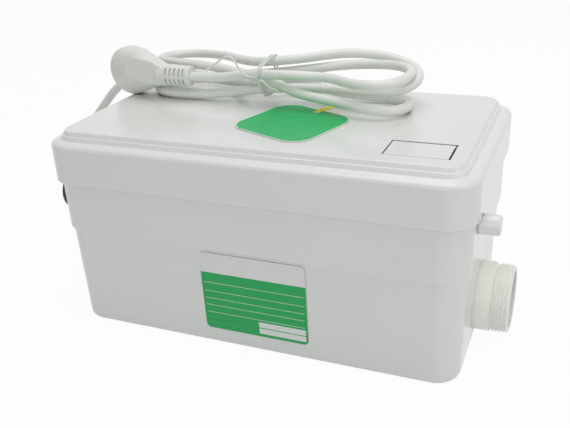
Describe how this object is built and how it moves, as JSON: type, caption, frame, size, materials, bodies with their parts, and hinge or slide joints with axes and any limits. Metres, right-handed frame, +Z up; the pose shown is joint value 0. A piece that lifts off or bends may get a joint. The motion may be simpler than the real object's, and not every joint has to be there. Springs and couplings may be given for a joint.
{
  "type": "grey water pump",
  "caption": "Box-shaped grey water pump with a threaded waste inlet, non-return discharge, filter cover, internal motor pump and a coiled mains cord.",
  "frame": {"origin": "centre of the casing's footprint, on the surface that it stands on", "axes": "+X towards the threaded waste inlet, -Y towards the labelled front, +Z up"},
  "size_m": [0.3942, 0.17, 0.1883],
  "materials": {
    "casing_white": "gloss moulded plastic",
    "gasket": "satin",
    "charcoal": "granular",
    "inlet_white": "gloss moulded plastic",
    "flap_rubber": "satin",
    "steel": "brushed",
    "valve_plastic": "satin",
    "sleeve_rubber": "satin",
    "hose_rubber": "satin",
    "pump_plastic": "satin",
    "seal_black": "satin",
    "laminations": "satin",
    "copper": "enamelled wire",
    "motor_metal": "cast",
    "box_plastic": "satin",
    "capacitor": "satin",
    "terminal": "satin",
    "brass": "satin",
    "cord": "satin sheath",
    "gland_grey": "satin",
    "plug_white": "satin",
    "plug_pin": "plated",
    "twist_tie": "satin",
    "tag_green": "coated card",
    "tag_strap": "satin",
    "label_green": "printed film"
  },
  "bodies": {
    "casing": {"tank": "casing_white", "lid": "casing_white", "lid_gasket": "gasket", "charcoal_filter": "charcoal", "inlet_spigot": "inlet_white", "inlet_flap_pin": "steel", "check_valve_body": "valve_plastic", "check_flap_pin": "steel", "discharge_sleeve": "sleeve_rubber", "sleeve_clamp": "steel", "riser_hose": "hose_rubber", "hose_clamps": "steel", "volute": "pump_plastic", "suction_strainer": "pump_plastic", "pump_feet": "flap_rubber", "seal_plate": "motor_metal", "shaft_seal": "seal_black", "lower_bearing": "steel", "upper_bearing": "steel", "stator_core": "laminations", "stator_windings": "copper", "motor_can": "motor_metal", "motor_cap": "motor_metal", "motor_screws": "steel", "volute_screws": "steel", "control_box": "box_plastic", "control_box_lid": "box_plastic", "control_box_screws": "steel", "air_bell": "valve_plastic", "switch_base": "box_plastic", "diaphragm": "seal_black", "switch_head": "terminal", "capacitor": "capacitor", "capacitor_clip": "box_plastic", "terminal_block": "terminal", "terminal_screws": "brass", "supply_lead": "cord", "motor_lead": "cord", "cable_gland": "gland_grey", "gland_seal": "seal_black", "gland_nut": "gland_grey", "gland_locknut": "gland_grey", "cord_relief": "gland_grey", "cord_lead": "cord", "cord_hank": "cord", "cord_tail": "cord", "plug_body": "plug_white", "plug_pins": "plug_pin", "cord_tie": "twist_tie", "swing_tag": "tag_green", "tag_tie": "tag_strap", "rating_label": "label_green"},
    "cover": {"filter_cover": "casing_white"},
    "inlet_valve": {"inlet_flap": "flap_rubber"},
    "non_return_valve": {"check_flap": "flap_rubber"},
    "rotor": {"shaft": "steel", "rotor_core": "laminations", "impeller": "pump_plastic", "impeller_nut": "steel"},
    "level_plunger": {"switch_plunger": "valve_plastic"}
  },
  "joints": [
    {"name": "cover_hinge", "type": "hinge", "parent": "casing", "child": "cover", "pos_m": [0.1096, -0.03795, 0.1484], "axis": [-1, 0, 0], "range_deg": [0, 90]},
    {"name": "rotor_spin", "type": "hinge", "parent": "casing", "child": "rotor", "pos_m": [-0.025, -0.0026, 0.06], "axis": [0, 0, 1], "continuous": true},
    {"name": "inlet_flap_swing", "type": "hinge", "parent": "casing", "child": "inlet_valve", "pos_m": [0.13427, -0.005, 0.053], "axis": [0, 1, 0], "range_deg": [0, 65]},
    {"name": "check_flap_swing", "type": "hinge", "parent": "casing", "child": "non_return_valve", "pos_m": [-0.11936, -0.0386, 0.0999], "axis": [0, 1, 0], "range_deg": [0, 45]},
    {"name": "switch_travel", "type": "slide", "parent": "casing", "child": "level_plunger", "axis": [0, 0, 1], "range_m": [0, 0.0015], "stiffness_N_per_m": 200}
  ]
}
